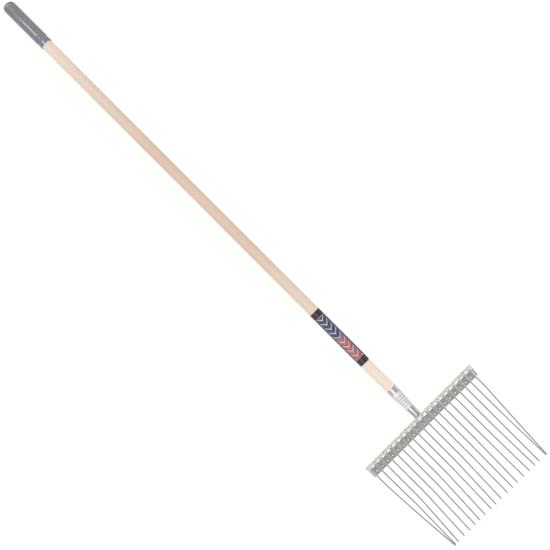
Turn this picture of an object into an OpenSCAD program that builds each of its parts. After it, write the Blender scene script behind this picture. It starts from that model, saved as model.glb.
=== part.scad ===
// Manure fork. Round-wire tines are clamped between a ribbed, folded sheet-steel rail and a flat backing
// strip. A tapered socket, welded to the back of the rail, holds a straight wooden shaft with a moulded grip.
// The fork lies on its back with its load side up: +X runs along the rail, +Y towards the grip, +Z up.
// The origin is on the floor, under the middle of the rail and of the whole length.
// All sizes are in millimetres.

/* [Shaft] */
// Diameter of the wooden shaft
shaft_d = 28; // [24:0.5:32]
// Length of the wooden shaft, with its tenon
shaft_len = 1347; // [900:1:1600]
// Length of the tapered tenon inside the socket
tenon_len = 64; // [45:1:80]
// Chamfer on the shaft's upper end
shaft_chamfer = 2; // [0.5:0.5:5]

/* [Grip] */
// Length of the grip, from its mouth to its closed end
grip_len = 135; // [100:1:180]
// Wall of the grip's body round the shaft
grip_wall = 1.9; // [1.6:0.1:3]
// Wall of the bead at the grip's mouth
grip_mouth_wall = 1.2; // [1:0.1:1.5]
// Wall of the neck between the mouth bead and the body
grip_neck_wall = 0.9; // [0.6:0.1:1]
// Length of the mouth bead
grip_mouth_len = 14; // [8:0.5:20]
// Length over which the neck swells out to the body
grip_taper_len = 16; // [8:0.5:30]
// Thickness of the grip's closed end
grip_end_wall = 6; // [4:0.5:8]
// Radius of the rounded edge at the closed end
grip_end_round = 10.5; // [4:0.5:11]
// Radius of the shallow dimple in the closed end
grip_dimple_r = 4; // [2:0.5:5]
// Depth of the shallow dimple in the closed end
grip_dimple_depth = 0.8; // [0.4:0.1:1.5]

/* [Label sleeve] */
// Length of the printed sleeve
sleeve_len = 170; // [100:1:250]
// Thickness of the printed sleeve
sleeve_t = 0.3; // [0.2:0.05:0.6]
// Bare wood between the sleeve and the socket
sleeve_rim_gap = 86; // [40:1:200]

/* [Socket] */
// Length of the socket along its axis, from its rim to the flange
socket_len = 97; // [92:1:130]
// Length of the straight neck under the rim
socket_neck_len = 15; // [10:1:25]
// Diameter of the socket's narrow end, on its axis
socket_end_d = 18.5; // [16:0.5:20]
// Wall of the socket
socket_wall = 1.5; // [1:0.1:2.5]
// Radius of the weld bead round the narrow end
weld_r = 2.2; // [1.5:0.1:3]
// Number of ripples in the weld bead
weld_ripples = 30; // [24:1:40]
// Distance of the socket and shaft from the rail's middle, towards +X
handle_offset = 4; // [-15:0.5:15]

/* [Sticker] */
// Distance from the socket's rim to the sticker
sticker_drop = 16; // [16:1:30]
// Length of the sticker along the socket
sticker_len = 46; // [20:1:50]
// Angle that the sticker wraps round the front of the socket
sticker_wrap = 170; // [90:5:240]
// Thickness of the sticker
sticker_t = 0.25; // [0.15:0.05:0.5]

/* [Socket screw] */
// Distance from the socket's rim to the screw
screw_drop = 34; // [26:1:40]
// Diameter of the screw's shank
screw_d = 3.8; // [3:0.1:5]
// Length of the screw under its head
screw_len = 15; // [10:0.5:18]
// Radius of the screw's head
screw_head_r = 3.6; // [3:0.1:4.5]
// Height of the screw's head
screw_head_h = 1.8; // [1:0.1:2.2]

/* [Rail] */
// Thickness of the ribbed sheet
sheet_t = 1.5; // [1:0.1:2]
// Width of the face, from its lower edge to the fold
face_len = 20; // [16:0.5:30]
// Inside radius of the fold
fold_r = 5; // [4:0.5:8]
// Angle between the flange and the face
flange_angle = 60; // [55:1:70]
// Width of the flange, from the fold to its free edge
flange_len = 24; // [23:0.5:35]
// Length by which the flange is longer than the face, at each end
flange_flare = 2; // [0.5:0.5:5]
// Distance from the outer tines' axes to the ends of the face
rail_end = 7; // [5:0.5:12]
// Radius of the sheet's corners
sheet_corner_r = 3; // [1:0.5:5]
// Thickness of the backing strip
strip_t = 2; // [1.5:0.1:3]
// Distance from the ends of the face to the ends of the backing strip
strip_inset = 2; // [0.5:0.5:5]

/* [Rivets] */
// Distance from the fold to the rivets
rivet_drop = 11.4; // [7:0.1:13]
// Diameter of the rivets' shanks
rivet_d = 3; // [2:0.1:4]
// Radius of the rivets' domed heads
rivet_head_r = 2.7; // [2.4:0.1:4]
// Height of the rivets' domed heads
rivet_head_h = 1.6; // [1:0.1:2.2]
// Height of the flat tails under the backing strip
rivet_tail_h = 1.2; // [0.8:0.1:2]

/* [Tines] */
// Number of tines, with the two side guards
tine_count = 20; // [12:1:24]
// Diameter of the wire
tine_d = 4; // [3:0.1:5]
// Distance between neighbouring tines
tine_pitch = 17.6; // [15:0.1:22]
// Straight length from the rail's lower edge to the bend
tine_flat_len = 98; // [80:1:140]
// Radius of the bend, on the wire's axis
tine_bend_r = 60; // [30:1:90]
// Angle of the bend
tine_bend_angle = 30; // [20:1:40]
// Straight length from the bend to the tip
tine_slope_len = 114; // [90:1:150]
// Thinning of the wire's radius in its bend
bend_thinning = 0.04; // [0.02:0.01:0.1]
// Length of the tapered tip
tip_len = 6; // [3:0.5:12]
// Diameter of the tip's end
tip_d = 2; // [1:0.1:2.5]

/* [Side guards] */
// Distance from the rail's lower edge to the corner of a guard's bend
guard_flat_len = 32; // [20:1:50]
// Radius of a guard's bend, on the wire's axis
guard_bend_r = 30; // [15:1:50]
// Angle at which a guard's tip leans on its neighbour's tip, up from the side
guard_rest_angle = 65; // [25:1:80]

/* [Fits] */
// Clearance round pieces that fit in, on or over each other
fit_gap = 0.1; // [0.05:0.01:0.2]
// Clearance between the tips of a guard and its neighbour
tip_gap = 0.3; // [0.2:0.05:0.5]

/* [Hidden] */
$fn = 64;

// Radii
shaft_r = shaft_d / 2;
grip_bore_r = shaft_r + fit_gap;
grip_r = grip_bore_r + grip_wall;
tine_r = tine_d / 2;
rib_bore_r = tine_r + fit_gap;
rib_r = rib_bore_r + sheet_t;

// Heights of the clamped layers, from the floor up
strip_top_z = rivet_tail_h + strip_t;
sheet_top_z = strip_top_z + sheet_t;
tine_z = strip_top_z + fit_gap + tine_r;
axis_z = grip_r;

// Back of the flange where it leaves the fold, measured along Y from the fold
fold_out_r = fold_r + sheet_t;
fold_center_z = sheet_top_z + fold_r;
flange_back_run = fold_out_r * sin(flange_angle);
flange_back_z = fold_center_z - fold_out_r * cos(flange_angle);
// Distance up the flange's back to the socket's axis, and the axis's end along Y from the fold
seat_climb = (axis_z - flange_back_z) / sin(flange_angle);
seat_run = flange_back_run + seat_climb * cos(flange_angle);

// Reach and rise of a tine's tip from the rail's lower edge
tine_run = tine_flat_len + tine_bend_r * sin(tine_bend_angle) + tine_slope_len * cos(tine_bend_angle);
tine_rise = tine_bend_r * (1 - cos(tine_bend_angle)) + tine_slope_len * sin(tine_bend_angle);
tine_reach = tine_run + tip_d / 2 * sin(tine_bend_angle);

// Places along Y
shaft_top_len = shaft_len - tenon_len + fit_gap + grip_end_wall;
overall_len = tine_reach + face_len + seat_run + socket_len + shaft_top_len;
low_y = tine_reach - overall_len / 2;
fold_y = low_y + face_len;
rim_y = fold_y + seat_run + socket_len;
grip_end_y = overall_len / 2;
rivet_y = fold_y - rivet_drop;

// Rail
tine_row_len = (tine_count - 1) * tine_pitch;
rail_len = tine_row_len + 2 * rail_end;
rib_len = face_len + fold_out_r;

// A guard runs straight from its bend to a place beside and above its neighbour's tip
tip_offset = tine_d + tip_gap;
guard_inward = tine_pitch - tip_offset * cos(guard_rest_angle);
guard_rise = tine_rise + tip_offset * sin(guard_rest_angle);
guard_lift = norm([guard_inward, guard_rise]);
guard_run = tine_run - guard_flat_len;
guard_angle = atan2(guard_lift, guard_run);
guard_roll = atan2(guard_inward, guard_rise);
guard_tangent = guard_bend_r * tan(guard_angle / 2);

// Socket
socket_taper = (shaft_r - socket_end_d / 2) / (socket_len - socket_neck_len);
socket_reach = socket_len + shaft_r / tan(flange_angle);

function socket_r(drop) = shaft_r - max(0, drop - socket_neck_len) * socket_taper;
function tenon_r(drop) = socket_r(drop) - socket_wall - fit_gap;
function tine_x(i) = (i - 1) * tine_pitch - tine_row_len / 2;
function tine_name(i) = str("tine_", i < 10 ? "0" : "", i);
function is_guard(i) = i == 1 || i == tine_count;

// Places a shape made along +Z on the shaft's axis, at a place along Y
module on_axis(y) {
    translate([handle_offset, y, axis_z]) rotate([-90, 0, 0]) children();
}

// Places a shape on the back of the flange: local +Y climbs the flange and +Z points to the load side
module on_flange_back() {
    translate([0, fold_y + flange_back_run, flange_back_z]) rotate([flange_angle, 0, 0]) children();
}

// Everything on the handle's side of the flange's back
module behind_flange() {
    on_flange_back() translate([-rail_len, -rail_len, -2 * rail_len]) cube(2 * rail_len);
}

// Places a shape on the underside of the socket, with +Z pointing square into its wall
module under_socket() {
    translate([handle_offset, rim_y - screw_drop, axis_z - socket_r(screw_drop)])
        rotate([-atan(socket_taper), 0, 0])
            children();
}

// Low dome on a flat round base
module dome(r, h) {
    ball_r = (r * r + h * h) / (2 * h);
    rotate_extrude() intersection() {
        translate([0, h - ball_r]) circle(ball_r);
        square([r, h]);
    }
}

// Flat plate outline, square along its lower side and with round corners along its upper side
module edge_plate(length, depth, corner_r) {
    translate([-length / 2, 0]) square([length, depth - corner_r]);
    translate([corner_r - length / 2, 0]) square([length - 2 * corner_r, depth]);
    for (side = [-1, 1])
        translate([side * (length / 2 - corner_r), depth - corner_r]) circle(corner_r);
}

// Clearance for the screw, through the socket's wall and into the wood
module screw_hole() {
    under_socket() translate([0, 0, -socket_wall])
        cylinder(d = screw_d + 2 * fit_gap, h = screw_len + 2 * socket_wall);
}

module handle_shaft() {
    color("burlywood") difference() {
        on_axis(rim_y) rotate_extrude() polygon([
            [0, -tenon_len],
            [tenon_r(tenon_len), -tenon_len],
            [tenon_r(socket_neck_len), -socket_neck_len],
            [tenon_r(0), 0],
            [shaft_r, 0],
            [shaft_r, shaft_len - tenon_len - shaft_chamfer],
            [shaft_r - shaft_chamfer, shaft_len - tenon_len],
            [0, shaft_len - tenon_len]
        ]);
        screw_hole();
    }
}

module grip_profile() {
    mouth_r = grip_bore_r + grip_mouth_wall;
    neck_r = grip_bore_r + grip_neck_wall;
    body_start = grip_mouth_len + grip_taper_len;
    lip_r = grip_mouth_wall / 2;
    difference() {
        union() {
            translate([0, lip_r]) square([mouth_r, grip_mouth_len - 2 * lip_r]);
            for (lip = [lip_r, grip_mouth_len - lip_r])
                translate([mouth_r - lip_r, lip]) circle(lip_r);
            square([mouth_r - lip_r, grip_mouth_len]);
            translate([0, grip_mouth_len])
                polygon([[0, 0], [neck_r, 0], [grip_r, grip_taper_len], [0, grip_taper_len]]);
            translate([0, body_start]) square([grip_r, grip_len - grip_end_round - body_start]);
            intersection() {
                translate([grip_r - grip_end_round, grip_len - grip_end_round]) circle(grip_end_round);
                square([grip_r, grip_len]);
            }
            square([grip_r - grip_end_round, grip_len]);
        }
        square([grip_bore_r, grip_len - grip_end_wall]);
        translate([0, grip_len - grip_dimple_depth]) square([grip_dimple_r, grip_dimple_depth]);
    }
}

module end_grip() {
    color("slategray") on_axis(grip_end_y - grip_len) rotate_extrude() grip_profile();
}

module label_sleeve() {
    color("dimgray") on_axis(rim_y + sleeve_rim_gap) difference() {
        cylinder(r = shaft_r + fit_gap + sleeve_t, h = sleeve_len);
        translate([0, 0, -sleeve_t]) cylinder(r = shaft_r + fit_gap, h = sleeve_len + 2 * sleeve_t);
    }
}

module socket() {
    color("silver") difference() {
        intersection() {
            on_axis(rim_y) rotate_extrude() polygon([
                [shaft_r - socket_wall, 0],
                [shaft_r, 0],
                [shaft_r, -socket_neck_len],
                [socket_r(socket_reach), -socket_reach],
                [socket_r(socket_reach) - socket_wall, -socket_reach],
                [shaft_r - socket_wall, -socket_neck_len]
            ]);
            behind_flange();
        }
        screw_hole();
    }
}

module socket_sticker() {
    start = max(sticker_drop, socket_neck_len + fit_gap);
    end = start + sticker_len;
    top_r = socket_r(start) + fit_gap;
    end_r = socket_r(end) + fit_gap;
    color("white") on_axis(rim_y) rotate([0, 0, -90 - sticker_wrap / 2]) rotate_extrude(angle = sticker_wrap)
        polygon([[top_r, -start], [top_r + sticker_t, -start], [end_r + sticker_t, -end], [end_r, -end]]);
}

module socket_screw() {
    point_len = screw_d;
    color("gray") under_socket() {
        translate([0, 0, -fit_gap]) mirror([0, 0, 1]) dome(screw_head_r, screw_head_h);
        translate([0, 0, -fit_gap]) cylinder(d = screw_d, h = screw_len - point_len + fit_gap);
        translate([0, 0, screw_len - point_len]) cylinder(d1 = screw_d, d2 = screw_d / 4, h = point_len);
    }
}

module socket_weld() {
    end_r = socket_end_d / 2;
    color("darkgray") difference() {
        intersection() {
            on_flange_back() translate([handle_offset, seat_climb, 0]) for (i = [1 : weld_ripples]) {
                turn = 360 * i / weld_ripples;
                translate([end_r * cos(turn), end_r / sin(flange_angle) * sin(turn), 0]) sphere(weld_r);
            }
            behind_flange();
        }
        on_axis(rim_y - socket_reach) cylinder(
            r1 = socket_r(socket_reach) + fit_gap,
            r2 = shaft_r + fit_gap,
            h = socket_reach - socket_neck_len
        );
    }
}

// Pressed rib over one tine, running through the fold and dying into the flange
module rib() {
    intersection() {
        translate([0, low_y, 0]) {
            translate([0, 0, tine_z]) rotate([-90, 0, 0]) cylinder(r = rib_r, h = rib_len);
            translate([-rib_r, 0, strip_top_z]) cube([2 * rib_r, rib_len, tine_z - strip_top_z]);
        }
        translate([-2 * rib_r, 0, 0]) {
            translate([0, low_y, strip_top_z]) cube([4 * rib_r, face_len, 2 * rib_r]);
            translate([0, fold_y, fold_center_z]) rotate([0, 90, 0]) cylinder(r = fold_out_r, h = 4 * rib_r);
        }
    }
}

// Open-bottomed channel under one rib, right through the fold
module rib_channel() {
    channel_len = rib_len + 2 * sheet_t;
    translate([0, low_y - sheet_t, 0]) {
        translate([0, 0, tine_z]) rotate([-90, 0, 0]) cylinder(r = rib_bore_r, h = channel_len);
        translate([-rib_bore_r, 0, 0]) cube([2 * rib_bore_r, channel_len, tine_z]);
    }
}

module rivet_holes() {
    for (i = [1 : tine_count - 1])
        translate([tine_x(i) + tine_pitch / 2, rivet_y, 0])
            cylinder(d = rivet_d + 2 * fit_gap, h = 2 * sheet_top_z);
}

module rail() {
    color("gainsboro") difference() {
        union() {
            translate([0, fold_y, strip_top_z]) linear_extrude(sheet_t)
                mirror([0, 1]) edge_plate(rail_len, face_len, sheet_corner_r);
            translate([-rail_len / 2, fold_y, fold_center_z]) rotate([0, 90, 0])
                rotate_extrude(angle = flange_angle) translate([fold_r, 0]) square([sheet_t, rail_len]);
            on_flange_back() linear_extrude(sheet_t)
                edge_plate(rail_len + 2 * flange_flare, flange_len, sheet_corner_r);
            for (i = [1 : tine_count])
                translate([tine_x(i), 0, 0]) rib();
        }
        for (i = [1 : tine_count])
            translate([tine_x(i), 0, 0]) rib_channel();
        rivet_holes();
    }
}

module backing_strip() {
    color("darkgray") difference() {
        translate([0, fold_y, rivet_tail_h]) linear_extrude(strip_t)
            mirror([0, 1]) edge_plate(rail_len - 2 * strip_inset, face_len, sheet_corner_r);
        rivet_holes();
    }
}

module rivets() {
    color("lightgray") for (i = [1 : tine_count - 1])
        translate([tine_x(i) + tine_pitch / 2, rivet_y, 0]) {
            cylinder(r = rivet_head_r, h = rivet_tail_h);
            cylinder(d = rivet_d, h = sheet_top_z);
            translate([0, 0, sheet_top_z]) dome(rivet_head_r, rivet_head_h);
        }
}

// Wire along -Y from the back of the fold, with one bend upwards, ending in a tapered tip.
// The bend is a hair thinner than the wire, and runs on inside both straight stretches.
module bent_wire(flat_len, bend_r, bend_angle, slope_len) {
    root_len = face_len + fold_r;
    lap_angle = acos(1 - bend_thinning / (2 * bend_r));
    translate([0, root_len, 0]) rotate([90, 0, 0]) cylinder(r = tine_r, h = root_len + flat_len);
    translate([0, -flat_len, bend_r]) rotate([0, 90, 0]) rotate([0, 0, -bend_angle - lap_angle])
        rotate_extrude(angle = bend_angle + 2 * lap_angle)
            translate([bend_r, 0]) circle(tine_r - bend_thinning);
    translate([0, -flat_len - bend_r * sin(bend_angle), bend_r * (1 - cos(bend_angle))])
        rotate([90 - bend_angle, 0, 0]) rotate_extrude() polygon([
            [0, 0],
            [tine_r, 0],
            [tine_r, slope_len - tip_len],
            [tip_d / 2, slope_len],
            [0, slope_len]
        ]);
}

// Side guard at the left end: it climbs from near the rail and leans over its neighbour
module guard_wire() {
    rotate([0, guard_roll, 0]) bent_wire(
        guard_flat_len - guard_tangent,
        guard_bend_r,
        guard_angle,
        norm([guard_lift, guard_run]) - guard_tangent
    );
}

module tine(i) {
    color("darkgray") translate([tine_x(i), low_y, tine_z]) {
        if (!is_guard(i)) bent_wire(tine_flat_len, tine_bend_r, tine_bend_angle, tine_slope_len);
        else if (i == 1) guard_wire();
        else mirror([1, 0, 0]) guard_wire();
    }
}

handle_shaft();
end_grip();
label_sleeve();
socket();
socket_sticker();
socket_screw();
socket_weld();
rail();
backing_strip();
rivets();
for (i = [1 : tine_count])
    tine(i);
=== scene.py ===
import math
import random

import bmesh
import bpy
import numpy as np
from mathutils import Matrix, Vector


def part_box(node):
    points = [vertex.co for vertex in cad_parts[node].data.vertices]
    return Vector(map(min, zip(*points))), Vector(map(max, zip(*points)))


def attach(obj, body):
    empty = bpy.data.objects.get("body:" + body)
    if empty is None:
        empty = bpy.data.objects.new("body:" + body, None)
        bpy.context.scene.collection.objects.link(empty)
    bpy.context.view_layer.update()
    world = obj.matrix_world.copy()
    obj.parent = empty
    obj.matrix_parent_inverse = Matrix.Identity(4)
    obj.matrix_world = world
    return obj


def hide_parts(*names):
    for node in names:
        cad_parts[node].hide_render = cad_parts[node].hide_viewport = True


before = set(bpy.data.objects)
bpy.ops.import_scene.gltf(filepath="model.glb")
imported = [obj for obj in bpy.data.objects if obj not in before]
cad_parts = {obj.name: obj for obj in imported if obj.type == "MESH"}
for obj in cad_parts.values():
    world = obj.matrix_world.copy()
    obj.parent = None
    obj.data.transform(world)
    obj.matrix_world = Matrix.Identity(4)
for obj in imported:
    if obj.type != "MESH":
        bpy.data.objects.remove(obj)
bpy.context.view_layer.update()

# Places taken from the frame, in metres
shaft_lo, shaft_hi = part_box("handle_shaft")
grip_lo, grip_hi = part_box("end_grip")
sleeve_lo, sleeve_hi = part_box("label_sleeve")
sticker_lo, sticker_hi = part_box("socket_sticker")
strip_lo, strip_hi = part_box("backing_strip")
rail_lo, rail_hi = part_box("rail")
tine_lo, tine_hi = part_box("tine_02")

SHAFT_R = (shaft_hi.x - shaft_lo.x) / 2
AXIS_X = (shaft_hi.x + shaft_lo.x) / 2
AXIS_Z = (shaft_hi.z + shaft_lo.z) / 2
RIM_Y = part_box("socket")[1].y
LOW_Y = strip_lo.y
FOLD_Y = strip_hi.y
SHEET_BOTTOM = strip_hi.z
TINE_R = (tine_hi.x - tine_lo.x) / 2
TINE_Z = tine_lo.z + TINE_R
TINE_X = (tine_hi.x + tine_lo.x) / 2
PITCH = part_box("tine_03")[0].x - tine_lo.x
TINES = sum(name.startswith("tine_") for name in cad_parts)

# Sizes of the finished surfaces, in metres
FIT_GAP = 0.0001
SOCKET_WALL = 0.0015
SOCKET_LEN = 0.097
SOCKET_NECK = 0.015
SOCKET_END_R = 0.00925
SHEET_T = 0.0015
FOLD_R = 0.005
FLANGE_ANGLE = math.radians(60)
FLANGE_FLARE = 0.002
SHEET_CORNER = 0.0024
SHEET_RIM = 0.0003
RIB_R = TINE_R + FIT_GAP + SHEET_T
RIB_FILLET = 0.0008
RIVET_DROP = 0.0114
FLAT_LEN = 0.098
BEND_R = 0.060
BEND_ANGLE = math.radians(30)
SLOPE_LEN = 0.114
GUARD_FLAT = 0.032
GUARD_BEND_R = 0.030
GUARD_REST = math.radians(65)
TIP_GAP = 0.0003
TIP_LEN = 0.006

# How far the photographed fork's rail ends, tips and guards are out of true, in metres
END_LONG = 0.0014
END_SKEW = 0.0026
END_FLAT = 0.0007
END_DROP = 0.0011
TIP_SET = 0.0024
GUARD_PULL_LEFT = 0.007
GUARD_PULL_RIGHT = 0.002

# Values worked out from those above
SOCKET_TAPER = (SHAFT_R - SOCKET_END_R) / (SOCKET_LEN - SOCKET_NECK)
SHEET_TOP = SHEET_BOTTOM + SHEET_T
FOLD_RISE = FOLD_R * (1 - math.cos(FLANGE_ANGLE))
FLANGE_LEN = (rail_hi.z - SHEET_TOP - FOLD_RISE) / math.sin(FLANGE_ANGLE)
BACK_POINT = Vector((0, rail_hi.y, rail_hi.z - SHEET_T * math.cos(FLANGE_ANGLE)))
BACK_NORMAL = Vector((0, -math.sin(FLANGE_ANGLE), math.cos(FLANGE_ANGLE)))

# Directions, strength of the sky and the floor, and points round the handle
X_AXIS = Vector((1, 0, 0))
Y_AXIS = Vector((0, 1, 0))
SKY_LIGHT = 0.48
FLOOR_GLOW = 1.06
SIDES = 96

# Fixed seeds, so that every run makes the same fork
chance = random.Random(20)
tip_chance = random.Random(129117)


# Mesh helpers

def loft(rings, ends=True):
    """Faces between rings of equally many points.

    The ends are closed by fans, or else the last ring meets the first.
    """
    count = len(rings[0])
    points = [point for ring in rings for point in ring]
    faces = []
    spans = len(rings) - 1 if ends else len(rings)
    for k in range(spans):
        low = k * count
        high = (k + 1) % len(rings) * count
        for i in range(count):
            j = (i + 1) % count
            faces.append((low + i, low + j, high + j, high + i))
    if ends:
        for ring, first in ((rings[0], 0), (rings[-1], len(points) - count)):
            middle = len(points)
            points.append(sum((Vector(p) for p in ring), Vector()) / count)
            faces += [(first + i, first + (i + 1) % count, middle) for i in range(count)]
    return points, faces


def slab(top, bottom, rim):
    """Closed sheet between two grids of points, with a rounded rim that stands out by the given length."""
    rows, columns = top.shape[:2]
    border = [(0, c) for c in range(columns)]
    border += [(r, columns - 1) for r in range(1, rows)]
    border += [(rows - 1, c) for c in range(columns - 2, -1, -1)]
    border += [(r, 0) for r in range(rows - 2, 0, -1)]
    points = [Vector(p) for p in top.reshape(-1, 3)] + [Vector(p) for p in bottom.reshape(-1, 3)]
    under = rows * columns
    faces = []
    for r in range(rows - 1):
        for c in range(columns - 1):
            a = r * columns + c
            quad = (a, a + 1, a + columns + 1, a + columns)
            faces.append(quad)
            faces.append(tuple(under + i for i in reversed(quad)))
    loops = [[r * columns + c for r, c in border]]
    steps = 4
    for k in range(1, steps):
        turn = math.pi * k / steps
        loop = []
        for r, c in border:
            inner_r = min(max(r, 1), rows - 2)
            inner_c = min(max(c, 1), columns - 2)
            outwards = Vector(top[r, c] - top[inner_r, inner_c]).normalized()
            middle = Vector(top[r, c] + bottom[r, c]) / 2
            half = Vector(top[r, c] - bottom[r, c]) / 2
            loop.append(len(points))
            points.append(middle + half * math.cos(turn) + outwards * rim * math.sin(turn))
        loops.append(loop)
    loops.append([under + i for i in loops[0]])
    for upper, lower in zip(loops, loops[1:]):
        for i in range(len(border)):
            j = (i + 1) % len(border)
            faces.append((upper[i], lower[i], lower[j], upper[j]))
    return points, faces


def grid_normals(grid):
    """Unit normals at the points of a grid."""
    normals = np.cross(np.gradient(grid, axis=1), np.gradient(grid, axis=0))
    return normals / np.linalg.norm(normals, axis=2, keepdims=True)


def arc(centre, radius, start, end, steps):
    """Points round a centre, from one angle to another, in degrees."""
    turns = [math.radians(start + (end - start) * k / steps) for k in range(steps + 1)]
    return [(centre[0] + radius * math.cos(t), centre[1] + radius * math.sin(t)) for t in turns]


def full_circle(count):
    """Equal turns round a circle, in radians."""
    return [2 * math.pi * i / count for i in range(count)]


def on_axis(radius, y, turn):
    """A point round the shaft's axis. The turn starts on top and goes towards +X."""
    return Vector((AXIS_X + radius * math.sin(turn), y, AXIS_Z + radius * math.cos(turn)))


def turned(profile, shape):
    """Rings of a turned solid from (radius, y) points. The shape adds to the radius at each turn."""
    rings = []
    for radius, y in profile:
        rings.append([on_axis(radius + shape(t, radius, y), y, t) for t in full_circle(SIDES)])
    return rings


def tube(points, radii):
    """Round wire along points that never run along X."""
    turns = full_circle(20)
    rings = []
    for k, point in enumerate(points):
        along = (points[min(k + 1, len(points) - 1)] - points[max(k - 1, 0)]).normalized()
        side = (X_AXIS - along * along.x).normalized()
        up = side.cross(along)
        ring = []
        for turn in turns:
            ring.append(point + radii[k] * (side * math.cos(turn) + up * math.sin(turn)))
        rings.append(ring)
    return loft(rings)


def between(low, high, share):
    """The value at a share of the way from low to high."""
    return low + (high - low) * share


def smooth_step(value):
    """Eases from 0 to 1, and stays at those values outside that range."""
    value = min(max(value, 0.0), 1.0)
    return value * value * (3 - 2 * value)


def add_piece(name, shape, material, slot, *nodes, sharp=40):
    """Makes a closed, smooth-shaded piece that rides on the fork and stands for CAD nodes."""
    mesh = bpy.data.meshes.new(name)
    mesh.from_pydata([tuple(p) for p in shape[0]], [], shape[1])
    cleaner = bmesh.new()
    cleaner.from_mesh(mesh)
    bmesh.ops.recalc_face_normals(cleaner, faces=cleaner.faces)
    cleaner.to_mesh(mesh)
    cleaner.free()
    mesh.shade_smooth()
    mesh.set_sharp_from_angle(angle=math.radians(sharp))
    mesh.materials.append(material)
    piece = bpy.data.objects.new(name, mesh)
    bpy.context.scene.collection.objects.link(piece)
    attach(piece, "root")
    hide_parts(*nodes)
    return piece


# Material helpers

class Paint:
    """A material with short ways to add nodes to it."""

    def __init__(self, name):
        self.material = bpy.data.materials.new(name)
        self.material.use_nodes = True
        self.tree = self.material.node_tree
        self.shader = self.tree.nodes["Principled BSDF"]
        self.coordinates = self.tree.nodes.new("ShaderNodeTexCoord")

    def node(self, kind, inputs=None, **settings):
        made = self.tree.nodes.new(kind)
        for key, value in settings.items():
            setattr(made, key, value)
        for key, value in (inputs or {}).items():
            self.feed(made.inputs[key], value)
        return made

    def feed(self, socket, value):
        if isinstance(value, bpy.types.NodeSocket):
            self.tree.links.new(value, socket)
        else:
            socket.default_value = value

    def set(self, **inputs):
        for key, value in inputs.items():
            self.feed(self.shader.inputs[key.replace("_", " ")], value)

    def axis(self, name, source="Object"):
        return self.node("ShaderNodeSeparateXYZ", {"Vector": self.coordinates.outputs[source]}).outputs[name]

    def place(self, scale, location=(0, 0, 0), rotation=(0, 0, 0)):
        return self.node("ShaderNodeMapping", {
            "Vector": self.coordinates.outputs["Object"],
            "Scale": scale,
            "Location": location,
            "Rotation": rotation,
        }).outputs["Vector"]

    def noise(self, scale, detail, distortion=0.0):
        return self.node("ShaderNodeTexNoise", {
            "Vector": self.place(scale),
            "Scale": 1.0,
            "Detail": detail,
            "Roughness": 0.55,
            "Distortion": distortion,
        }).outputs["Fac"]

    def math(self, operation, first, second=0.0, third=0.0):
        return self.node("ShaderNodeMath", {0: first, 1: second, 2: third}, operation=operation).outputs[0]

    def band(self, value, low, high, bottom=0.0, top=1.0):
        """Maps low to high onto bottom to top, and clamps what lies outside."""
        return self.node("ShaderNodeMapRange", {
            "Value": value,
            "From Min": low,
            "From Max": high,
            "To Min": bottom,
            "To Max": top,
        }).outputs["Result"]

    def blend(self, factor, first, second):
        """Mixes two colours, which are inputs 6 and 7 of the mixer, into its output 2."""
        low, high = [(*value, 1.0) if isinstance(value, tuple) else value for value in (first, second)]
        return self.node("ShaderNodeMix", {0: factor, 6: low, 7: high}, data_type="RGBA").outputs[2]

    def bump(self, height, distance, strength):
        return self.node(
            "ShaderNodeBump", {"Height": height, "Distance": distance, "Strength": strength},
        ).outputs["Normal"]


def wood_paint():
    """Pale ash with growth rings, fibres and pores along the shaft, palest towards its ends."""
    middle = 0.154
    pale_start = 0.15
    pale_end = 0.6
    paint = Paint("pale_ash")
    rings = paint.node("ShaderNodeTexWave", {
        "Vector": paint.place((1, 1, 1), location=(0.035, 0, 0.024), rotation=(0.004, 0, 0.006)),
        "Scale": 62.0,
        "Distortion": 2.6,
        "Detail": 2.0,
        "Detail Scale": 0.12,
    }, wave_type="RINGS", rings_direction="Y").outputs["Fac"]
    tone = paint.noise((9, 1.1, 9), detail=2)
    fibres = paint.noise((420, 5, 420), detail=5)
    pores = paint.noise((2200, 45, 2200), detail=2)
    from_middle = paint.math("ABSOLUTE", paint.math("SUBTRACT", paint.axis("Y"), middle))
    colour = paint.blend(paint.band(tone, 0.35, 0.65), (0.645, 0.505, 0.395), (0.58, 0.445, 0.35))
    colour = paint.blend(paint.band(from_middle, pale_start, pale_end), colour, (0.78, 0.67, 0.575))
    colour = paint.blend(paint.band(rings, 0.55, 1.0, 0.0, 0.28), colour, (0.66, 0.46, 0.31))
    colour = paint.blend(paint.band(fibres, 0.45, 0.75, 0.0, 0.35), colour, (0.69, 0.51, 0.37))
    colour = paint.blend(paint.band(pores, 0.62, 0.72, 0.0, 0.18), colour, (0.48, 0.32, 0.2))
    height = paint.math("SUBTRACT", fibres, paint.band(pores, 0.6, 0.72))
    paint.set(
        Base_Color=colour,
        Roughness=paint.band(fibres, 0.3, 0.7, 0.46, 0.6),
        Normal=paint.bump(height, 0.00006, 0.6),
        Specular_IOR_Level=0.35,
    )
    return paint.material


def grip_paint():
    """Smooth grey plastic, slightly mottled, with faint scuffs along it."""
    paint = Paint("grey_plastic")
    mottle = paint.noise((55, 18, 55), detail=3)
    grain = paint.noise((1500, 1500, 1500), detail=2)
    scuffs = paint.noise((260, 26, 260), detail=6, distortion=0.6)
    colour = paint.blend(paint.band(mottle, 0.35, 0.65), (0.102, 0.102, 0.114), (0.120, 0.120, 0.132))
    colour = paint.blend(paint.band(scuffs, 0.64, 0.74, 0.0, 0.35), colour, (0.42, 0.42, 0.44))
    paint.set(
        Base_Color=colour,
        Roughness=paint.band(scuffs, 0.4, 0.75, 0.06, 0.22),
        Normal=paint.bump(grain, 0.00003, 0.2),
        Specular_IOR_Level=0.5,
        Coat_Weight=0.25,
        Coat_Roughness=0.04,
    )
    return paint.material


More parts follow.
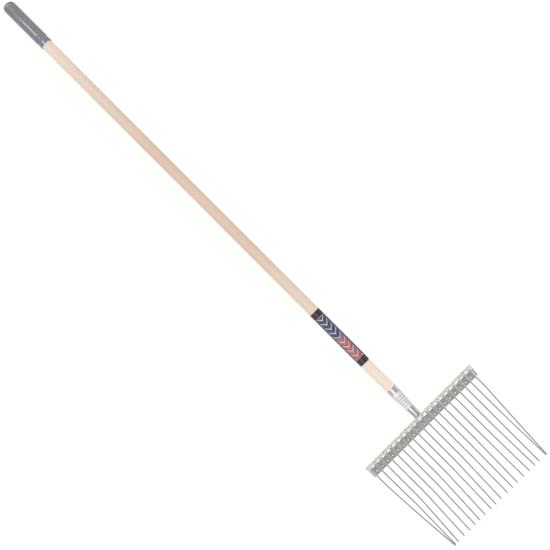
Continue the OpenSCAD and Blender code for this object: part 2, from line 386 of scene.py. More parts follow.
def film_paint():
    """Dark film with one row of chevrons, blue at the top and red further down, between silver lines."""
    paint = Paint("printed_film")
    length = sleeve_hi.y - sleeve_lo.y
    half = 0.0105
    step = 0.0145
    chevron_end = 0.62
    gap_start = 0.8
    red_start = 0.53
    end_band = 0.0195
    edge_off = 0.0012
    edge_half = 0.00035
    end_off = 0.0015
    end_half = 0.0005
    edge_reach = 0.0021
    along = paint.axis("Y", "UV")
    width = paint.math("ABSOLUTE", paint.axis("X", "UV"))
    phase = paint.math("FRACT", paint.math("DIVIDE", paint.math("ADD", along, width), step))
    inside = paint.math("MULTIPLY", paint.math("LESS_THAN", width, half), paint.math(
        "MULTIPLY",
        paint.math("GREATER_THAN", along, end_band),
        paint.math("LESS_THAN", along, length - end_band),
    ))
    chevron = paint.math("MULTIPLY", inside, paint.math("LESS_THAN", phase, chevron_end))
    gap = paint.math("MULTIPLY", inside, paint.math("GREATER_THAN", phase, gap_start))
    edge = paint.math("COMPARE", width, half + edge_off, edge_half)
    ends = paint.math(
        "ADD",
        paint.math("COMPARE", along, end_band - end_off, end_half),
        paint.math("COMPARE", along, length - end_band + end_off, end_half),
    )
    lines = paint.math("MULTIPLY", paint.math("MAXIMUM", edge, ends), paint.math(
        "MULTIPLY",
        paint.math("GREATER_THAN", along, end_band - edge_reach),
        paint.math("LESS_THAN", along, length - end_band + edge_reach),
    ))
    lower_half = paint.math("GREATER_THAN", paint.math("ADD", along, width), length * red_start)
    hue = paint.blend(lower_half, (0.050, 0.058, 0.165), (0.54, 0.125, 0.125))
    wear = paint.noise((700, 140, 700), detail=5)
    colour = paint.blend(chevron, (0.032, 0.029, 0.03), hue)
    colour = paint.blend(gap, colour, (0.55, 0.55, 0.58))
    colour = paint.blend(lines, colour, (0.5, 0.51, 0.53))
    colour = paint.blend(paint.band(wear, 0.6, 0.78, 0.0, 0.25), colour, (0.3, 0.29, 0.29))
    ripple = paint.noise((60, 25, 60), detail=2)
    paint.set(
        Base_Color=colour,
        Roughness=paint.band(wear, 0.35, 0.7, 0.3, 0.46),
        Normal=paint.bump(ripple, 0.0003, 0.4),
        Specular_IOR_Level=0.35,
    )
    return paint.material


def paper_paint():
    """Off-white paper with soft bars across it, grey above and dull red below, and with painted shade on its
    sides.
    """
    paint = Paint("barred_paper")
    length = sticker_hi.y - sticker_lo.y
    margin = 0.006
    step = 0.0068
    half_bar = 0.0075
    bar_start = 0.66
    red_start = 0.6
    side_shade_start = 0.0085
    side_shade_end = 0.0115
    down = paint.math("SUBTRACT", sticker_hi.y, paint.axis("Y"))
    off_axis = paint.math("ABSOLUTE", paint.math("SUBTRACT", paint.axis("X"), AXIS_X))
    phase = paint.math("FRACT", paint.math("DIVIDE", paint.math("SUBTRACT", down, margin), step))
    field = paint.math("MULTIPLY", paint.math("LESS_THAN", off_axis, half_bar), paint.math(
        "MULTIPLY",
        paint.math("GREATER_THAN", down, margin),
        paint.math("LESS_THAN", down, length - margin),
    ))
    bars = paint.math("MULTIPLY", field, paint.math("GREATER_THAN", phase, bar_start))
    lower_part = paint.math("GREATER_THAN", down, red_start * length)
    ink = paint.blend(lower_part, (0.34, 0.34, 0.36), (0.48, 0.28, 0.29))
    fibres = paint.noise((900, 900, 900), detail=5)
    stains = paint.noise((70, 70, 70), detail=4)
    colour = paint.blend(paint.band(stains, 0.4, 0.7), (0.72, 0.695, 0.715), (0.66, 0.635, 0.655))
    colour = paint.blend(paint.band(fibres, 0.6, 0.75, 0.0, 0.3), colour, (0.5, 0.47, 0.46))
    # Painted shade: the paper darkens towards both sides, where it turns away round the socket.
    colour = paint.blend(paint.band(off_axis, side_shade_start, side_shade_end), colour, (0.42, 0.41, 0.42))
    paint.set(
        Base_Color=paint.blend(bars, colour, ink),
        Roughness=paint.band(fibres, 0.3, 0.7, 0.5, 0.7),
        Normal=paint.bump(fibres, 0.00004, 0.5),
        Coat_Weight=1.0,
        Coat_Roughness=0.14,
    )
    return paint.material


def zinc_paint(name, light, dark, roughness, streaks, spangle=170.0, marks=1.0, painted_sheen_from=None):
    """Zinc-plated steel: soft crystal patches, drawn or rolled streaks, and dull specks.

    Past the given place along Y, the zinc is painted brighter: a painted sheen for the light the flange
    catches, not a change in the zinc itself.
    """
    streak_tone = tuple(0.62 * c for c in dark)
    speck_tone = tuple(0.45 * c for c in dark)
    painted_sheen_tone = (0.95, 0.95, 0.93)
    painted_sheen_share = 0.3
    painted_sheen_fade = 0.003
    paint = Paint(name)
    cells = paint.node("ShaderNodeTexVoronoi", {
        "Vector": paint.place((1, 1, 1)),
        "Scale": spangle,
        "Randomness": 1.0,
    }).outputs["Color"]
    patch = paint.node("ShaderNodeSeparateColor", {"Color": cells}).outputs[0]
    cloud = paint.noise((45, 45, 45), detail=3)
    lines = paint.noise(streaks, detail=4)
    specks = paint.noise((1400, 1400, 1400), detail=3)
    tone = paint.math("ADD", paint.math("MULTIPLY", patch, 0.3), paint.math("MULTIPLY", cloud, 0.7))
    colour = paint.blend(paint.band(tone, 0.3, 0.7), light, dark)
    colour = paint.blend(paint.band(lines, 0.5, 0.8, 0.0, 0.35 * marks), colour, streak_tone)
    colour = paint.blend(paint.band(specks, 0.66, 0.74, 0.0, 0.5 * marks), colour, speck_tone)
    # Painted sheen: past this place the flange is painted brighter, standing in for the light it reflects.
    if painted_sheen_from is not None:
        painted_sheen = paint.band(paint.axis("Y"), painted_sheen_from, painted_sheen_from + painted_sheen_fade, 0.0, painted_sheen_share)
        colour = paint.blend(painted_sheen, colour, painted_sheen_tone)
    gloss = paint.math("ADD", paint.math("MULTIPLY", tone, 0.16), paint.math("MULTIPLY", lines, 0.12))
    paint.set(
        Base_Color=colour,
        Metallic=1.0,
        Roughness=paint.math("ADD", gloss, roughness - 0.14),
        Normal=paint.bump(paint.math("ADD", lines, specks), 0.00003, 0.5 * marks),
    )
    return paint.material


def weld_paint():
    """Dark, scaly steel with a tint of heat."""
    paint = Paint("weld_steel")
    scale = paint.noise((500, 500, 500), detail=5)
    heat = paint.noise((120, 120, 120), detail=2)
    colour = paint.blend(paint.band(scale, 0.35, 0.7), (0.30, 0.29, 0.28), (0.16, 0.155, 0.15))
    colour = paint.blend(paint.band(heat, 0.55, 0.7, 0.0, 0.4), colour, (0.2, 0.17, 0.22))
    paint.set(
        Base_Color=colour,
        Metallic=1.0,
        Roughness=paint.band(scale, 0.3, 0.7, 0.34, 0.6),
        Normal=paint.bump(scale, 0.0001, 0.6),
    )
    return paint.material


def floor_paint():
    """Matt floor that glows white, so that it shows only faint shadows."""
    paint = Paint("pale_floor")
    cloud = paint.noise((3, 3, 3), detail=2)
    paint.set(
        Base_Color=paint.blend(cloud, (0.10, 0.10, 0.10), (0.13, 0.13, 0.13)),
        Roughness=0.9,
        Emission_Color=(1, 1, 1, 1),
        Emission_Strength=FLOOR_GLOW,
    )
    return paint.material


# Handle

def shaft_piece(material):
    """Round shaft, with the tenon inside the socket and a chamfered upper end."""
    chamfer = 0.002
    shoulder = 0.0004
    spans = 60
    tenon_gap = SOCKET_WALL + FIT_GAP
    profile = [(socket_r(RIM_Y - shaft_lo.y) - tenon_gap, shaft_lo.y)]
    profile += [(SHAFT_R - tenon_gap, RIM_Y - SOCKET_NECK), (SHAFT_R - tenon_gap, RIM_Y)]
    profile += [(SHAFT_R - shoulder, RIM_Y), (SHAFT_R, RIM_Y + shoulder)]
    top = shaft_hi.y - chamfer
    profile += [(SHAFT_R, RIM_Y + (top - RIM_Y) * k / spans) for k in range(1, spans + 1)]
    profile += [(SHAFT_R - chamfer, shaft_hi.y)]

    def unevenness(turn, radius, y):
        """Faint waves along and round the bare wood, none on the tenon."""
        if radius < SHAFT_R:
            return 0.0
        return 0.00006 * math.sin(2 * turn + 7 * y) + 0.00005 * math.sin(23 * y + 1)

    return add_piece("ash_shaft", loft(turned(profile, unevenness)), material, "shaft_wood", "handle_shaft")


def grip_piece(material):
    """Moulded grip with a mouth bead, a neck under a low ridge, a round end and two parting lines."""
    length = grip_hi.y - grip_lo.y
    bore = SHAFT_R + FIT_GAP
    body = (grip_hi.x - grip_lo.x) / 2
    mouth = bore + 0.0014
    neck = bore + 0.0010
    ridge = body + 0.0003
    lip = 0.0004
    mouth_gap = 0.0005
    mouth_len = 0.009
    neck_end = 0.017
    ridge_y = 0.0187
    body_start = 0.025
    end_round = 0.0105
    dimple = 0.004
    dimple_depth = 0.0008
    dimple_edge = 0.0005
    dimple_soft = 0.0002
    dimple_draft = 0.0006
    dimple_sag = 0.0001
    end_wall = 0.006
    bore_start = 0.002
    parting_rise = 0.00012
    parting_half = 0.0007
    underside_cos = -0.5
    profile = [(bore, length - end_wall), (bore, bore_start), (bore + mouth_gap, lip)]
    profile += arc((mouth - lip, lip), lip, -90, 0, 4)
    profile += [(mouth, mouth_len / 2), (mouth, mouth_len)]
    steps = 8
    for k in range(1, steps):
        share = k / steps
        profile.append((between(mouth, neck, share), between(mouth_len, neck_end, share)))
    for k in range(steps + 1):
        share = k / steps
        profile.append((between(neck, ridge, smooth_step(share)), between(neck_end, ridge_y, share)))
    for k in range(1, steps + 1):
        share = k / steps
        profile.append((between(ridge, body, share), between(ridge_y, body_start, share)))
    body_end = length - end_round
    spans = 12
    profile += [(body, body_start + (body_end - body_start) * k / spans) for k in range(1, spans)]
    profile += arc((body - end_round, body_end), end_round, 0, 88, 14)
    dimple_floor = length - dimple_depth
    profile += [(dimple + dimple_edge, length), (dimple, length - dimple_soft)]
    profile += [(dimple - dimple_draft, dimple_floor), (dimple / 2, dimple_floor - dimple_sag)]

    def moulding(turn, radius, y):
        """Parting lines on both sides, and the ridge pressed flat where it rests on the floor."""
        if radius <= bore:
            return 0.0
        rise = math.cos(turn)
        pressed = max(0.0, radius + AXIS_Z / rise) if rise < underside_cos else 0.0
        return parting_rise * math.exp(-(rise * radius / parting_half) ** 2) - pressed

    rings = turned([(radius, grip_lo.y + y) for radius, y in profile], moulding)
    return add_piece("moulded_grip", loft(rings), material, "grip_plastic", "end_grip", sharp=50)


def sleeve_piece(material):
    """Thin printed film round the shaft, lapped along its underside."""
    inner = SHAFT_R + FIT_GAP
    film = 0.00022
    lap = 0.00012
    lap_fade = 0.006
    edge_round = 0.00008
    spans = 40
    length = sleeve_hi.y - sleeve_lo.y
    turns = full_circle(SIDES)

    def film_r(turn):
        past_lap = (turn - math.pi) % (2 * math.pi) * inner
        return inner + film + lap * (1 - smooth_step(past_lap / lap_fade))

    def ring(radius, y):
        return [on_axis(radius, y, t) for t in turns]

    outside = []
    for k in range(spans + 1):
        y = sleeve_lo.y + length * k / spans
        outside.append([on_axis(film_r(t), y, t) for t in turns])
    low_edge = ring(inner + film / 2, sleeve_lo.y - edge_round)
    high_edge = ring(inner + film / 2, sleeve_hi.y + edge_round)
    inside = [ring(inner, sleeve_hi.y), ring(inner, sleeve_lo.y)]
    shape = loft([low_edge] + outside + [high_edge] + inside, ends=False)
    piece = add_piece("printed_sleeve", shape, material, "sleeve_film", "label_sleeve")
    layout = piece.data.uv_layers.new(name="Print")
    for face in piece.data.polygons:
        for corner in face.loop_indices:
            point = piece.data.vertices[piece.data.loops[corner].vertex_index].co
            turn = math.atan2(point.x - AXIS_X, point.z - AXIS_Z)
            if turn < 0 and face.center.x > AXIS_X and face.center.z < AXIS_Z:
                turn += 2 * math.pi
            layout.data[corner].uv = (turn * SHAFT_R, sleeve_hi.y - point.y)
    return piece


# Socket

def socket_r(drop):
    """Outer radius of the socket at a distance below its rim."""
    return SHAFT_R - SOCKET_TAPER * max(0.0, drop - SOCKET_NECK)


def socket_drop(turn, wall):
    """Distance from the rim to the flange's back, along one line of the socket."""
    rise, run = -BACK_NORMAL.y, BACK_NORMAL.z
    start_r = SHAFT_R - wall + SOCKET_TAPER * SOCKET_NECK
    level = AXIS_Z + start_r * math.cos(turn) - BACK_POINT.z
    return ((RIM_Y - BACK_POINT.y) * rise - level * run) / (rise - run * SOCKET_TAPER * math.cos(turn))


def socket_piece(material):
    """Rolled tube with a soft rim, a butt seam along its underside and an end cut to the flange."""
    turns = full_circle(SIDES)
    steps = 44
    round_rim = 0.0004
    seam_depth = 0.0007
    seam_half = 0.0007

    def ring(share, wall, inset):
        points = []
        for turn in turns:
            drop = share * socket_drop(turn, wall) + inset
            radius = socket_r(drop) - wall
            if wall == 0:
                off_seam = abs(turn - math.pi) * radius
                radius -= seam_depth * math.exp(-(off_seam / seam_half) ** 2)
            points.append(on_axis(radius, RIM_Y - drop, turn))
        return points

    def rim_ring(turn):
        wall = SOCKET_WALL / 2 + (SOCKET_WALL / 2) * math.cos(turn)
        return [on_axis(SHAFT_R - wall, RIM_Y - round_rim * (1 - math.sin(turn)), t) for t in turns]

    rings = [ring(k / steps, 0, round_rim * (1 - k / steps)) for k in range(steps + 1)]
    rings += [ring(k / steps, SOCKET_WALL, round_rim * (1 - k / steps)) for k in range(steps, -1, -1)]
    rings += [rim_ring(math.radians(turn)) for turn in range(30, 180, 30)]
    return add_piece("rolled_socket", loft(rings, ends=False), material, "socket_zinc", "socket")


def sticker_piece(material):
    """Paper sticker with round corners, wrapped over the front of the socket."""
    wrap = math.radians(130) / 2
    thickness = 0.0002
    waviness = 0.00004
    corner = 0.003
    length = sticker_hi.y - sticker_lo.y
    rows = 30
    columns = 48
    top = np.zeros((rows + 1, columns + 1, 3))
    bottom = top.copy()
    for r in range(rows + 1):
        down = length * (0.5 - 0.5 * math.cos(math.pi * r / rows))
        drop = RIM_Y - sticker_hi.y + down
        from_end = min(down, length - down, corner)
        inset = corner - math.sqrt(corner ** 2 - (corner - from_end) ** 2)
        radius = socket_r(drop) + FIT_GAP / 2
        half = wrap - inset / radius
        for c in range(columns + 1):
            turn = half * (2 * c / columns - 1)
            lift = waviness * math.sin(31 * turn / math.pi + 190 * down)
            top[r, c] = on_axis(radius + thickness + lift, RIM_Y - drop, turn)
            bottom[r, c] = on_axis(radius, RIM_Y - drop, turn)
    shape = slab(top, bottom, thickness / 3)
    return add_piece("paper_sticker", shape, material, "sticker_paper", "socket_sticker")


def weld_piece(material):
    """Rippled bead round the socket's narrow end, flat against the flange's back."""
    ripples = 34
    ripple_steps = 8
    around = ripples * ripple_steps
    sides = 18
    bead = 0.0021
    rings = []
    for i, turn in enumerate(full_circle(around)):
        drop = socket_drop(turn, 0)
        middle = on_axis(socket_r(drop), RIM_Y - drop, turn)
        outwards = Vector((math.sin(turn), 0, math.cos(turn)))
        outwards = (outwards - BACK_NORMAL * outwards.dot(BACK_NORMAL)).normalized()
        ripple = (i % ripple_steps) / ripple_steps
        radius = bead * (0.9 + 0.14 * ripple + 0.03 * math.sin(5 * turn + 1))
        ring = []
        for angle in full_circle(sides):
            level = min(radius * math.sin(angle), 0.0)
            ring.append(middle + outwards * radius * math.cos(angle) + BACK_NORMAL * level)
        rings.append(ring)
    add_piece("weld_bead", loft(rings, ends=False), material, "weld_steel", "socket_weld", sharp=60)


def screw_piece(material):
    """Domed cross-head screw through the socket's underside, with a rolled thread and a point."""
    screw_drop = 0.034
    head_r = 0.0036
    head_h = 0.0018
    shank_r = 0.0019
    core_r = 0.0013
    shank_len = 0.015
    point_len = 0.0038
    pitch = 0.0014
    crest_slope = 3.2
    point_share = 0.08
    slot_half = 0.0004
    slot_soft = 0.0003
    arm_len = 0.0015
    arm_soft = 0.0006
    slot_depth = 0.0010
    sides = 64
    neck_r = shank_r * 1.1
    ball_r = (head_r ** 2 + head_h ** 2) / (2 * head_h)

    def recess(x, y):
        """Depth of the cross at a place on the head."""
        arms = []
        for along, across in ((x, y), (y, x)):
            within_slot = 1 - smooth_step((abs(across) - slot_half) / slot_soft)
            within_arm = 1 - smooth_step((abs(along) - arm_len) / arm_soft)
            arms.append(within_slot * within_arm)
        return slot_depth * max(arms)

    rings = []
    head_steps = 26
    turns = full_circle(sides)
    for k in range(1, head_steps + 1):
        radius = head_r * k / head_steps
        crown = head_h - ball_r + math.sqrt(ball_r ** 2 - radius ** 2)
        ring = []
        for t in turns:
            x, y = radius * math.cos(t), radius * math.sin(t)
            ring.append(Vector((x, y, recess(x, y) - crown - FIT_GAP)))
        rings.append(ring)
    rings.append([Vector((neck_r * math.cos(t), neck_r * math.sin(t), -FIT_GAP)) for t in turns])
    thread_steps = 110
    for k in range(thread_steps + 1):
        depth = shank_len * k / thread_steps
        taper = min(1.0, (shank_len - depth) / point_len + point_share)
        ring = []
        for t in turns:
            phase = (depth / pitch - t / (2 * math.pi)) % 1.0
            crest = max(0.0, 1 - abs(phase - 0.5) * crest_slope)
            radius = (core_r + (shank_r - core_r) * crest) * taper
            ring.append(Vector((radius * math.cos(t), radius * math.sin(t), depth)))
        rings.append(ring)
    slope = math.atan(SOCKET_TAPER)
    inwards = Vector((0, math.sin(slope), math.cos(slope)))
    seat = on_axis(socket_r(screw_drop), RIM_Y - screw_drop, math.pi)
    turn = Matrix((X_AXIS, inwards.cross(X_AXIS), inwards)).transposed()
    points, faces = loft(rings)
    shape = ([seat + turn @ p for p in points], faces)
    add_piece("cross_head_screw", shape, material, "fastener_zinc", "socket_screw")


# Rail

def rib_outline():
    """Half of a rib's outer section, from its crest to its foot, as (offset, height above the face)."""
    centre = TINE_Z - SHEET_TOP
    reach = RIB_R + RIB_FILLET
    foot_x = math.sqrt(reach ** 2 - (RIB_FILLET - centre) ** 2)
    meet = math.degrees(math.asin((RIB_FILLET - centre) / reach))
    outline = arc((0, centre), RIB_R, 90, meet, 9)
    outline += arc((foot_x, RIB_FILLET), RIB_FILLET, 180 + meet, 270, 5)[1:]
    return outline


def rail_columns():
    """Places along X across the ribs, each with its height above the face, and the outermost foot."""
    outline = rib_outline()
    foot = outline[-1][0]
    columns = []
    half_row = PITCH * (TINES - 1) / 2
    gap = PITCH - 2 * foot
    gap_steps = 6
    for i in range(TINES):
        x = i * PITCH - half_row
        columns += [(x - offset, height) for offset, height in reversed(outline)]
        columns += [(x + offset, height) for offset, height in outline[1:]]
        if i < TINES - 1:
            columns += [(x + foot + gap * k / gap_steps, 0.0) for k in range(1, gap_steps)]
    return columns, half_row + foot


def rail_rows():
    """Rows up the sheet as (y, rise above the face, left reach, right reach, cut at the round corners).

    They run from the lower to the free edge. The left end steps out at the fold. The right end is cut long
    and askew.
    """
    half_face = (rail_hi.x - rail_lo.x) / 2 - FLANGE_FLARE
    face_len = FOLD_Y - LOW_Y
    fold_len = FOLD_R * FLANGE_ANGLE
    sheet_len = face_len + fold_len + FLANGE_LEN
    corner_steps = 6
    face_steps = 8
    fold_steps = 14
    flange_steps = 28
    corner_turns = [math.pi / 2 * k / corner_steps for k in range(corner_steps + 1)]
    edge_steps = [SHEET_CORNER * (1 - math.cos(turn)) for turn in corner_turns]
    rows = []

    def add_row(y, rise, climb, flare):
        missing = max(0.0, SHEET_CORNER - climb, SHEET_CORNER - sheet_len + climb)
        cut = SHEET_CORNER - math.sqrt(SHEET_CORNER ** 2 - missing ** 2)
        skew = END_LONG + END_SKEW * climb / sheet_len
        rows.append((y, rise, half_face + flare, half_face + skew, cut))

    climbs = list(edge_steps)
    climbs += [SHEET_CORNER + (face_len - SHEET_CORNER) * k / face_steps for k in range(1, face_steps + 1)]
    for climb in climbs:
        add_row(LOW_Y + climb, 0.0, climb, 0.0)
    for k in range(1, fold_steps + 1):
        turn = FLANGE_ANGLE * k / fold_steps
        flare = FLANGE_FLARE * smooth_step(k / fold_steps)
        climb = face_len + FOLD_R * turn
        add_row(FOLD_Y + FOLD_R * math.sin(turn), FOLD_R * (1 - math.cos(turn)), climb, flare)
    climbs = [(FLANGE_LEN - SHEET_CORNER) * k / flange_steps for k in range(1, flange_steps + 1)]
    climbs += [FLANGE_LEN - step for step in reversed(edge_steps[:-1])]
    start_y, start_rise = rows[-1][:2]
    for climb in climbs:
        y = start_y + climb * math.cos(FLANGE_ANGLE)
        rise = start_rise + climb * math.sin(FLANGE_ANGLE)
        add_row(y, rise, face_len + fold_len + climb, FLANGE_FLARE)
    return rows


def rail_piece(material):
    """One sheet: a face with a pressed rib over each tine, a fold, and a flange that the ribs die into.

    The ribs' heights and the flange's rise are blended softly. Both ends are rolled back past a short flat.
    """
    softness = 3
    end_columns = 8
    columns, outer_foot = rail_columns()
    rows = rail_rows()
    roll_start = outer_foot + END_FLAT
    width = len(columns) + 2 * end_columns
    top = np.zeros((len(rows), width, 3))
    rolled = np.zeros((len(rows), width, 1))
    for r, (y, rise, left, right, cut) in enumerate(rows):
        left_margin = left - cut - outer_foot
        right_margin = right - cut - outer_foot
        line = [(cut - left + left_margin * k / end_columns, 0.0) for k in range(end_columns)]
        line += columns
        line += [(outer_foot + right_margin * k / end_columns, 0.0) for k in range(1, end_columns + 1)]
        for c, (x, height) in enumerate(line):
            level = (height ** softness + rise ** softness) ** (1 / softness)
            roll_end = left if x < 0 else right
            top[r, c] = (x, y, SHEET_TOP + level)
            rolled[r, c] = max(0.0, (abs(x) - roll_start) / (roll_end - roll_start))
    top -= END_DROP * rolled ** 2 * grid_normals(top)
    bottom = top - SHEET_T * grid_normals(top)
    return add_piece("ribbed_rail", slab(top, bottom, SHEET_RIM), material, "rail_zinc", "rail", sharp=60)


def rivet_row_piece(material):
    """Domed rivets between the tines, each with a flat, dished tail under the backing strip."""
    head_r = 0.0027
    head_h = 0.0016
    shank_r = 0.0015
    tail_h = strip_lo.z
    tail_round = 0.0003
    tail_flat = 0.92
    dish_rim = 0.6
    dish_floor = 0.45
    edge = 0.0002
    seat = 0.0001
    dome_steps = 10
    turns = full_circle(28)
    rivet_y = FOLD_Y - RIVET_DROP
    points = []
    faces = []
    for i in range(TINES - 1):
        x = (i - (TINES - 2) / 2) * PITCH
        size = 1 + chance.uniform(-0.04, 0.04)
        dome_h = head_h * (1 + chance.uniform(-0.08, 0.04))
        ball_r = ((head_r * size) ** 2 + dome_h ** 2) / (2 * dome_h)
        profile = [(head_r * dish_floor, tail_round), (head_r * dish_rim, 0.0)]
        profile += [(head_r * tail_flat, 0.0), (head_r, tail_round)]
        profile += [(head_r, tail_h - edge), (head_r - edge, tail_h), (shank_r, tail_h)]
        profile += [(shank_r, SHEET_TOP), (head_r * size - edge, SHEET_TOP)]
        for k in range(dome_steps):
            radius = head_r * size * math.cos(math.pi / 2 * k / dome_steps)
            crown = dome_h - ball_r + math.sqrt(ball_r ** 2 - radius ** 2)
            profile.append((radius, SHEET_TOP + seat + crown))
        rings = []
        for r, z in profile:
            rings.append([Vector((x + r * math.cos(t), rivet_y + r * math.sin(t), z)) for t in turns])
        one_points, one_faces = loft(rings)
        first = len(points)
        points += one_points
        faces += [tuple(first + v for v in face) for face in one_faces]
    return add_piece("rivet_row", (points, faces), material, "fastener_zinc", "rivets", sharp=50)


# Tines

def wire(root, flat_len, bend_r, bend_angle, slope_len, lean=0.0, drift=0.0, pull=0.0):
    """Wire from under the fold, with one bend and a ground tip.

    It leans about Y, drifts past its bend, and its tip is pulled sideways, as a beam bends.
    """
    back = tine_hi.y - LOW_Y
    chamfer = 0.0004
    straight_steps = range(1, 9)
    bend_steps = 12
    tip_left = (0.8, 0.6, 0.4, 0.25, 0.12, 0.05, 0.015, 0.0)
    tip_r = 0.5 * TINE_R
    blunt_end = (1.1, 0.85, 0.5)
    stations = [-back, chamfer - back]
    stations += [-back + (flat_len + back) * k / len(straight_steps) for k in straight_steps]
    path = [(run, 0.0) for run in stations]
    for k in range(1, bend_steps + 1):
        turn = bend_angle * k / bend_steps
        path.append((flat_len + bend_r * math.sin(turn), bend_r * (1 - math.cos(turn))))
    start_run, start_rise = path[-1]
    slopes = [(slope_len - TIP_LEN) * k / len(straight_steps) for k in straight_steps]
    slopes += [slope_len - TIP_LEN * left for left in tip_left]
    path += [(start_run + s * math.cos(bend_angle), start_rise + s * math.sin(bend_angle)) for s in slopes]
    points = []
    reach = path[-1][0]
    for run, rise in path:
        x = root.x + rise * math.sin(lean) + drift * max(0.0, run - flat_len)
        x += pull * max(0.0, run / reach) ** 2
        points.append(Vector((x, root.y - run, root.z + rise * math.cos(lean))))
    radii = [TINE_R - chamfer] + [TINE_R] * (len(path) - 1 - len(tip_left))
    radii += [between(tip_r, TINE_R, math.sqrt(left)) for left in tip_left[:-len(blunt_end)]]
    radii += [tip_r * share for share in blunt_end]
    return tube(points, radii)


def tine_pieces(material):
    """The row of wires. The outer two are guards that bend up early and rest on their neighbours' tips."""
    bend_run = BEND_R * math.sin(BEND_ANGLE) + SLOPE_LEN * math.cos(BEND_ANGLE)
    run = FLAT_LEN + bend_run
    rise = BEND_R * (1 - math.cos(BEND_ANGLE)) + SLOPE_LEN * math.sin(BEND_ANGLE)
    offset = 2 * TINE_R + TIP_GAP
    inwards = PITCH - offset * math.cos(GUARD_REST)
    guard_rise = rise + offset * math.sin(GUARD_REST)
    lift = math.hypot(inwards, guard_rise)
    guard_angle = math.atan2(lift, run - GUARD_FLAT)
    guard_lean = math.atan2(inwards, guard_rise)
    tangent = GUARD_BEND_R * math.tan(guard_angle / 2)
    guard_slope = math.hypot(lift, run - GUARD_FLAT) - tangent
    first_x = TINE_X - PITCH
    for i in range(1, TINES + 1):
        root = Vector((first_x + (i - 1) * PITCH, LOW_Y, TINE_Z))
        pull = GUARD_PULL_LEFT if root.x < 0 else GUARD_PULL_RIGHT
        if i in (1, TINES):
            lean = guard_lean if i == 1 else -guard_lean
            flat = GUARD_FLAT - tangent
            shape = wire(root, flat, GUARD_BEND_R, guard_angle, guard_slope, lean=lean, pull=pull)
        elif i in (2, TINES - 1):
            shape = wire(root, FLAT_LEN, BEND_R, BEND_ANGLE, SLOPE_LEN, pull=pull)
        else:
            drift = TIP_SET * tip_chance.uniform(-1, 1) / bend_run
            shape = wire(root, FLAT_LEN, BEND_R, BEND_ANGLE, SLOPE_LEN, drift=drift)
        add_piece(f"wire_{i:02d}", shape, material, "tine_steel", f"tine_{i:02d}")


# Studio

def softbox(name, place, target, along, length, width, radiance, pieces=None):
    """Area light that faces a target, with its length along a direction, for all or only some pieces."""
    lamp = bpy.data.lights.new(name, "AREA")
    lamp.shape = "RECTANGLE"
    lamp.size = length
    lamp.size_y = width
    lamp.energy = radiance * math.pi * length * width
    back = (Vector(place) - Vector(target)).normalized()
    side = (along - back * along.dot(back)).normalized()
    turn = Matrix((side, back.cross(side), back)).transposed().to_4x4()
    light = bpy.data.objects.new(name, lamp)
    light.matrix_world = Matrix.Translation(place) @ turn
    bpy.context.scene.collection.objects.link(light)
    if pieces:
        lit = bpy.data.collections.new(name)
        for piece in pieces:
            lit.objects.link(piece)
        light.light_linking.receiver_collection = lit


def studio_floor():
    reach = 15.0
    corners = [(-reach, -reach, 0), (reach, -reach, 0), (reach, reach, 0), (-reach, reach, 0)]
    mesh = bpy.data.meshes.new("floor")
    mesh.from_pydata(corners, [], [(0, 1, 2, 3)])
    mesh.materials.append(floor_paint())
    floor = bpy.data.objects.new("floor", mesh)
    bpy.context.scene.collection.objects.link(floor)


def studio_sky():
    world = bpy.data.worlds.new("studio")
    bpy.context.scene.world = world
    world.use_nodes = True
    background = world.node_tree.nodes["Background"]
    background.inputs["Color"].default_value = (1, 1, 1, 1)
    background.inputs["Strength"].default_value = SKY_LIGHT


def studio(strip_lit, shaft, grip, rail):
    """White floor and sky, broad boxes round the fork, and boxes that light only some of its pieces."""
    studio_floor()
    studio_sky()
    softbox("handle_strip", (-0.78, 0.1, 3.0), (0, 0.1, 0), Y_AXIS,
            length=3.86, width=1.5, radiance=3.4, pieces=strip_lit)
    softbox("grip_strip", (-0.78, 0.115, 3.0), (0, 0.115, 0), Y_AXIS,
            length=3.89, width=1.5, radiance=7.0, pieces=[grip])
    softbox("right_box", (2.6, -0.3, 0.9), (0, -0.4, 0), Y_AXIS,
            length=3.0, width=1.0, radiance=0.75)
    softbox("left_box", (-2.8, 0.3, 1.2), (0, 0, 0), Y_AXIS,
            length=3.5, width=1.0, radiance=0.65)
    softbox("front_box", (0, -2.1, 0.74), (0, -0.6, 0), X_AXIS,
            length=1.6, width=0.6, radiance=3.9)
    softbox("back_box", (0, 2.8, 1.2), (0, 0.5, 0), X_AXIS,
            length=2.0, width=1.0, radiance=1.2)
    softbox("end_box", (0, 3.1, 3.0), (0, 0.8, 0), X_AXIS,
            length=5.2, width=0.9, radiance=5.0, pieces=[grip])
    softbox("handle_fill", (2.3, 0.1, 1.3), (0, 0.1, 0), Y_AXIS,
            length=3.9, width=1.0, radiance=1.0, pieces=[shaft, grip])
    softbox("rib_right", (0.52, -0.585, 0.25), (0.1, -0.585, 0), Y_AXIS,
            length=0.4, width=0.24, radiance=0.85, pieces=[rail])
    softbox("rib_left", (-0.8, -0.585, 0.2), (-0.1, -0.585, 0), Y_AXIS,
            length=0.4, width=0.25, radiance=1.2, pieces=[rail])
    bpy.context.scene.view_settings.view_transform = "Standard"


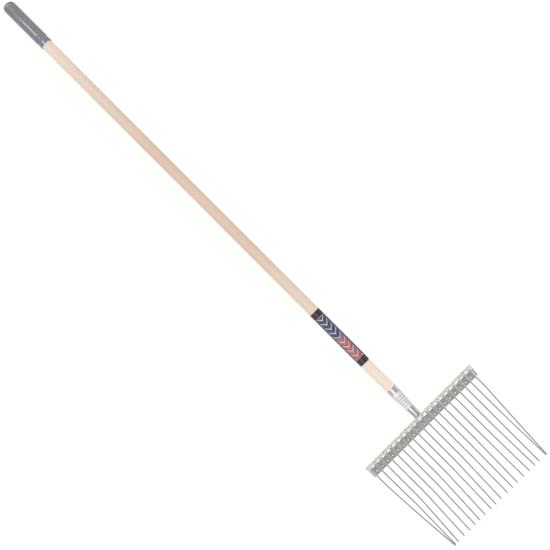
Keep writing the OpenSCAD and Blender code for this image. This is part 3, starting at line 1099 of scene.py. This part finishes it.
def camera():
    """Camera that looks straight down, with the grip at the picture's upper left.

    It stands off to one side of its target, and the lens is shifted back by as much.
    """
    target_left = 0.0039
    target_y = -0.0832
    target = Vector((AXIS_X - target_left, target_y, AXIS_Z))
    offset = 0.0787
    height = 2.0485
    right = (X_AXIS - Y_AXIS).normalized()
    up = (X_AXIS + Y_AXIS).normalized()
    lens = bpy.data.cameras.new("camera")
    lens.lens = 56.4
    lens.sensor_width = 36.0
    lens.shift_x = -offset * right.x / height * lens.lens / lens.sensor_width
    lens.shift_y = -offset * up.x / height * lens.lens / lens.sensor_width
    turn = Matrix((right, up, right.cross(up))).transposed().to_4x4()
    view = bpy.data.objects.new("camera", lens)
    view.matrix_world = Matrix.Translation(target + Vector((offset, 0, height))) @ turn
    bpy.context.scene.collection.objects.link(view)
    bpy.context.scene.camera = view


# The fork

fastener_paint = zinc_paint(
    "fastener_zinc", light=(0.74, 0.74, 0.74), dark=(0.65, 0.65, 0.66),
    roughness=0.30, streaks=(400, 400, 400),
)
rail_paint = zinc_paint(
    "rail_zinc", light=(0.65, 0.65, 0.625), dark=(0.595, 0.595, 0.575),
    roughness=0.33, streaks=(12, 500, 500), marks=0.35,
    # The flange past its fold gets a painted sheen.
    painted_sheen_from=FOLD_Y + FOLD_R * math.sin(FLANGE_ANGLE),
)
socket_paint = zinc_paint(
    "socket_zinc", light=(0.585, 0.585, 0.575), dark=(0.515, 0.515, 0.51),
    roughness=0.40, streaks=(500, 14, 500), marks=0.5,
)
wire_paint = zinc_paint(
    "tine_zinc", light=(0.60, 0.60, 0.60), dark=(0.535, 0.535, 0.54),
    roughness=0.33, streaks=(900, 14, 900), spangle=90.0, marks=0.15,
)

shaft = shaft_piece(wood_paint())
grip = grip_piece(grip_paint())
strip_lit = [
    shaft,
    sleeve_piece(film_paint()),
    socket_piece(socket_paint),
    sticker_piece(paper_paint()),
    rivet_row_piece(fastener_paint),
]
weld_piece(weld_paint())
screw_piece(fastener_paint)
rail = rail_piece(rail_paint)
tine_pieces(wire_paint)

backing_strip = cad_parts["backing_strip"]
backing_strip.data.materials.clear()
backing_strip.data.materials.append(rail_paint)

studio(strip_lit, shaft, grip, rail)
camera()
